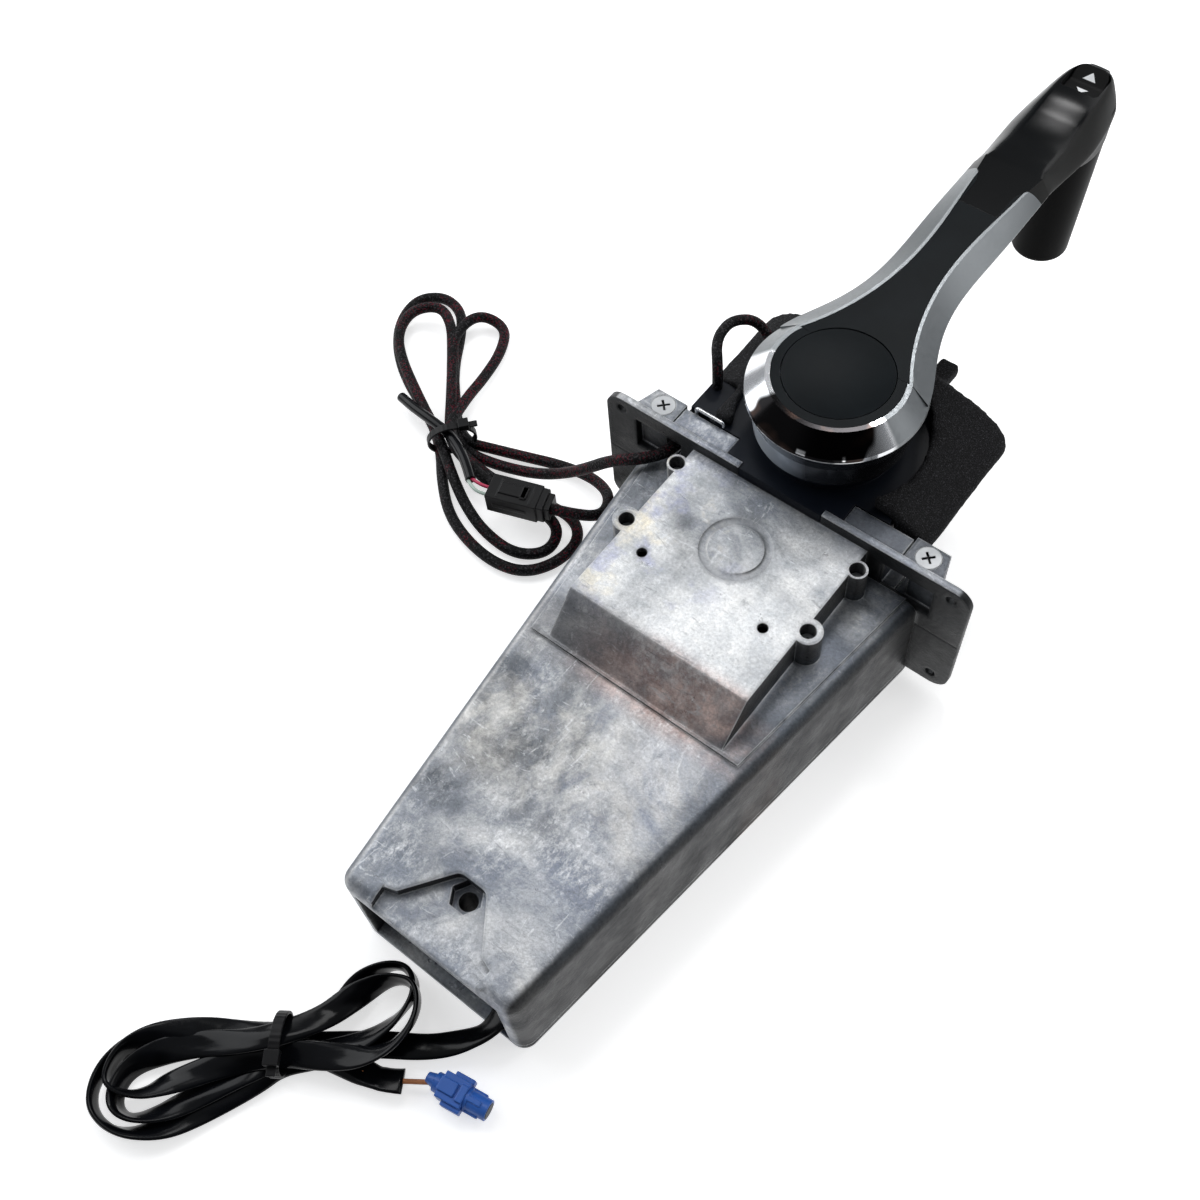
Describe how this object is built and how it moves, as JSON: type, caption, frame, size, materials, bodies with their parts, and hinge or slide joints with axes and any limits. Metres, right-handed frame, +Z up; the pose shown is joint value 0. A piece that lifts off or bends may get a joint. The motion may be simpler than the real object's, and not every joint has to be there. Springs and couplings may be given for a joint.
{
  "type": "boat throttle control lever",
  "caption": "Single-lever boat control lying on its back: a below-deck gear housing, a deck flange and a pivoting throttle and shift lever with a drop grip.",
  "frame": {"origin": "centre of the footprint on the surface that the control lies on, harnesses left out", "axes": "+Z up from that surface, +X along the deck flange, +Y from the cable end of the housing towards the lever's grip"},
  "size_m": [0.369, 0.6462, 0.1338],
  "materials": {
    "cast_aluminium": "as cast, mottled",
    "zinc_steel": "bright",
    "steel": "machined",
    "bronze": "machined",
    "navy_plastic": "matt",
    "black_plastic": "satin",
    "black_foam": "open cell, speckled",
    "braided_sleeve": "braided mesh",
    "black_sleeve": "smooth sleeve",
    "satin_alloy": "satin with a chrome ring",
    "charcoal_panel": "fine satin",
    "gloss_black": "gloss",
    "orange_wire": "smooth",
    "blue_plastic": "satin"
  },
  "bodies": {
    "housing": {"front_housing": "cast_aluminium", "rear_housing": "cast_aluminium", "housing_screws": "zinc_steel", "lug_screws": "zinc_steel", "neck_frame": "cast_aluminium", "pod_base": "navy_plastic", "shaft_bushes": "bronze", "foam_wrap": "black_foam", "harness_clip": "zinc_steel", "gear_pin": "steel", "shift_pin": "steel", "detent_sleeve": "steel", "detent_spring": "steel", "neutral_switch": "black_plastic", "cable_clamp": "steel", "cable_clamp_screw": "zinc_steel", "trim_lead": "braided_sleeve", "braid_lead": "braided_sleeve", "braid_hank": "braided_sleeve", "braid_tie": "black_plastic", "braid_connector": "black_plastic", "sleeve_lead": "black_sleeve", "sleeve_hank": "black_sleeve", "sleeve_tie": "black_plastic", "blue_wire": "orange_wire", "blue_connector": "blue_plastic"},
    "lever": {"lever_arm": "satin_alloy", "lever_inlay": "charcoal_panel", "handle_shell": "gloss_black", "grip": "gloss_black", "grip_core": "cast_aluminium", "grip_screw": "zinc_steel", "main_shaft": "steel", "drive_gear": "steel", "lever_bolt": "zinc_steel", "shaft_clip": "steel", "rocker_switch": "black_plastic", "rocker_pin": "steel", "button_spring": "steel"},
    "button": {"throttle_only_button": "charcoal_panel"},
    "rocker": {"trim_rocker": "black_plastic"},
    "throttle_gear": {"throttle_gear": "steel"},
    "link": {"shift_link": "steel"},
    "shift_arm": {"shift_arm": "steel"},
    "plunger": {"detent_plunger": "steel"}
  },
  "joints": [
    {"name": "lever_swing", "type": "hinge", "parent": "housing", "child": "lever", "pos_m": [0, 0.03, 0.1], "axis": [0, 0, 1], "range_deg": [-60, 80]},
    {"name": "throttle_only_press", "type": "slide", "parent": "lever", "child": "button", "axis": [0, 0, -1], "range_m": [0, 0.004], "stiffness_N_per_m": 700, "springref_m": -0.002, "deforming": ["button_spring"]},
    {"name": "trim_rocker_tilt", "type": "hinge", "parent": "lever", "child": "rocker", "pos_m": [0, 0.2425, 0.126], "axis": [1, 0, 0], "range_deg": [-5, 5], "stiffness_Nm_per_rad": 0.4},
    {"name": "throttle_gear_turn", "type": "hinge", "parent": "housing", "child": "throttle_gear", "pos_m": [0, -0.038, 0.035], "axis": [0, 0, 1], "range_deg": [-80, 60]},
    {"name": "shift_link_turn", "type": "hinge", "parent": "throttle_gear", "child": "link", "pos_m": [-0.02363, -0.04217, 0.0245], "axis": [0, 0, 1], "range_deg": [-60, 80]},
    {"name": "shift_arm_turn", "type": "hinge", "parent": "housing", "child": "shift_arm", "pos_m": [0.01036, -0.10017, 0.0165], "axis": [0, 0, 1], "range_deg": [-48, 36]},
    {"name": "detent_slide", "type": "slide", "parent": "housing", "child": "plunger", "axis": [0, 0, -1], "range_m": [0, 0.0015], "stiffness_N_per_m": 500, "springref_m": -0.002, "deforming": ["detent_spring"]}
  ],
  "couplings": [
    {"joint": "throttle_gear_turn", "follows": "lever_swing", "ratio": -1},
    {"joint": "shift_link_turn", "follows": "lever_swing", "ratio": 1},
    {"joint": "shift_arm_turn", "follows": "lever_swing", "ratio": -0.6}
  ]
}
